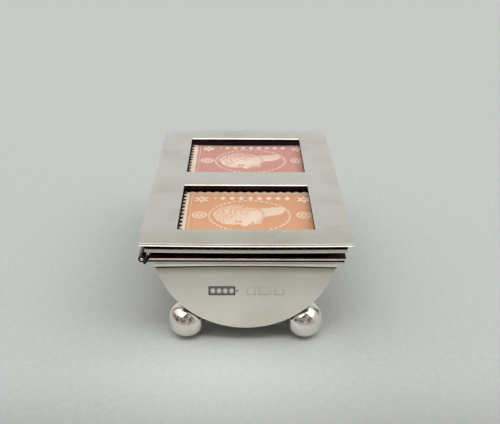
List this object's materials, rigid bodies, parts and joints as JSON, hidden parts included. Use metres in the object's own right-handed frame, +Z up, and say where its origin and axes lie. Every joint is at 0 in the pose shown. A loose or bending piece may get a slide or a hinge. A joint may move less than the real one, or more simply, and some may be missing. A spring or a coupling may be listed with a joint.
{
  "type": "stamp box",
  "caption": "Small silver box with a half-round trough body on ball feet, a moulded rim and a hinged lid with windows that show postage stamps.",
  "frame": {"origin": "middle of the footprint, on the surface that the four ball feet stand on", "axes": "+Z up, +Y along the trough away from the front end, +X to the right, with the hinge along the -X side"},
  "size_m": [0.0331, 0.0476, 0.0205],
  "materials": {
    "silver_plate": "satin",
    "silver_body": "satin",
    "silver_moulding": "polished",
    "silver_ball": "polished",
    "silver_hinge": "polished",
    "orange_stamp": "matte",
    "red_stamp": "matte"
  },
  "bodies": {
    "box": {"trough": "silver_body", "front_end_plate": "silver_body", "back_end_plate": "silver_body", "partition": "silver_body", "bezel": "silver_body", "rim_front": "silver_moulding", "rim_back": "silver_moulding", "rim_left": "silver_moulding", "rim_right": "silver_moulding", "front_left_foot": "silver_ball", "front_right_foot": "silver_ball", "back_left_foot": "silver_ball", "back_right_foot": "silver_ball", "front_body_knuckle": "silver_hinge", "middle_body_knuckle": "silver_hinge", "back_body_knuckle": "silver_hinge", "hinge_pin": "silver_hinge"},
    "lid": {"window_plate": "silver_plate", "carrier_plate": "silver_plate", "left_spacer": "silver_plate", "right_spacer": "silver_plate", "middle_spacer": "silver_plate", "front_lid_knuckle": "silver_hinge", "back_lid_knuckle": "silver_hinge"},
    "front_stamp": {"front_stamp": "orange_stamp"},
    "back_stamp": {"back_stamp": "red_stamp"}
  },
  "joints": [
    {"name": "lid_hinge", "type": "hinge", "parent": "box", "child": "lid", "pos_m": [-0.01605, 0, 0.01736], "axis": [0, -1, 0], "range_deg": [0, 100]},
    {"name": "front_stamp_slide", "type": "slide", "parent": "lid", "child": "front_stamp", "axis": [0, -1, 0], "range_m": [0, 0.016]},
    {"name": "back_stamp_slide", "type": "slide", "parent": "lid", "child": "back_stamp", "axis": [0, 1, 0], "range_m": [0, 0.016]}
  ]
}
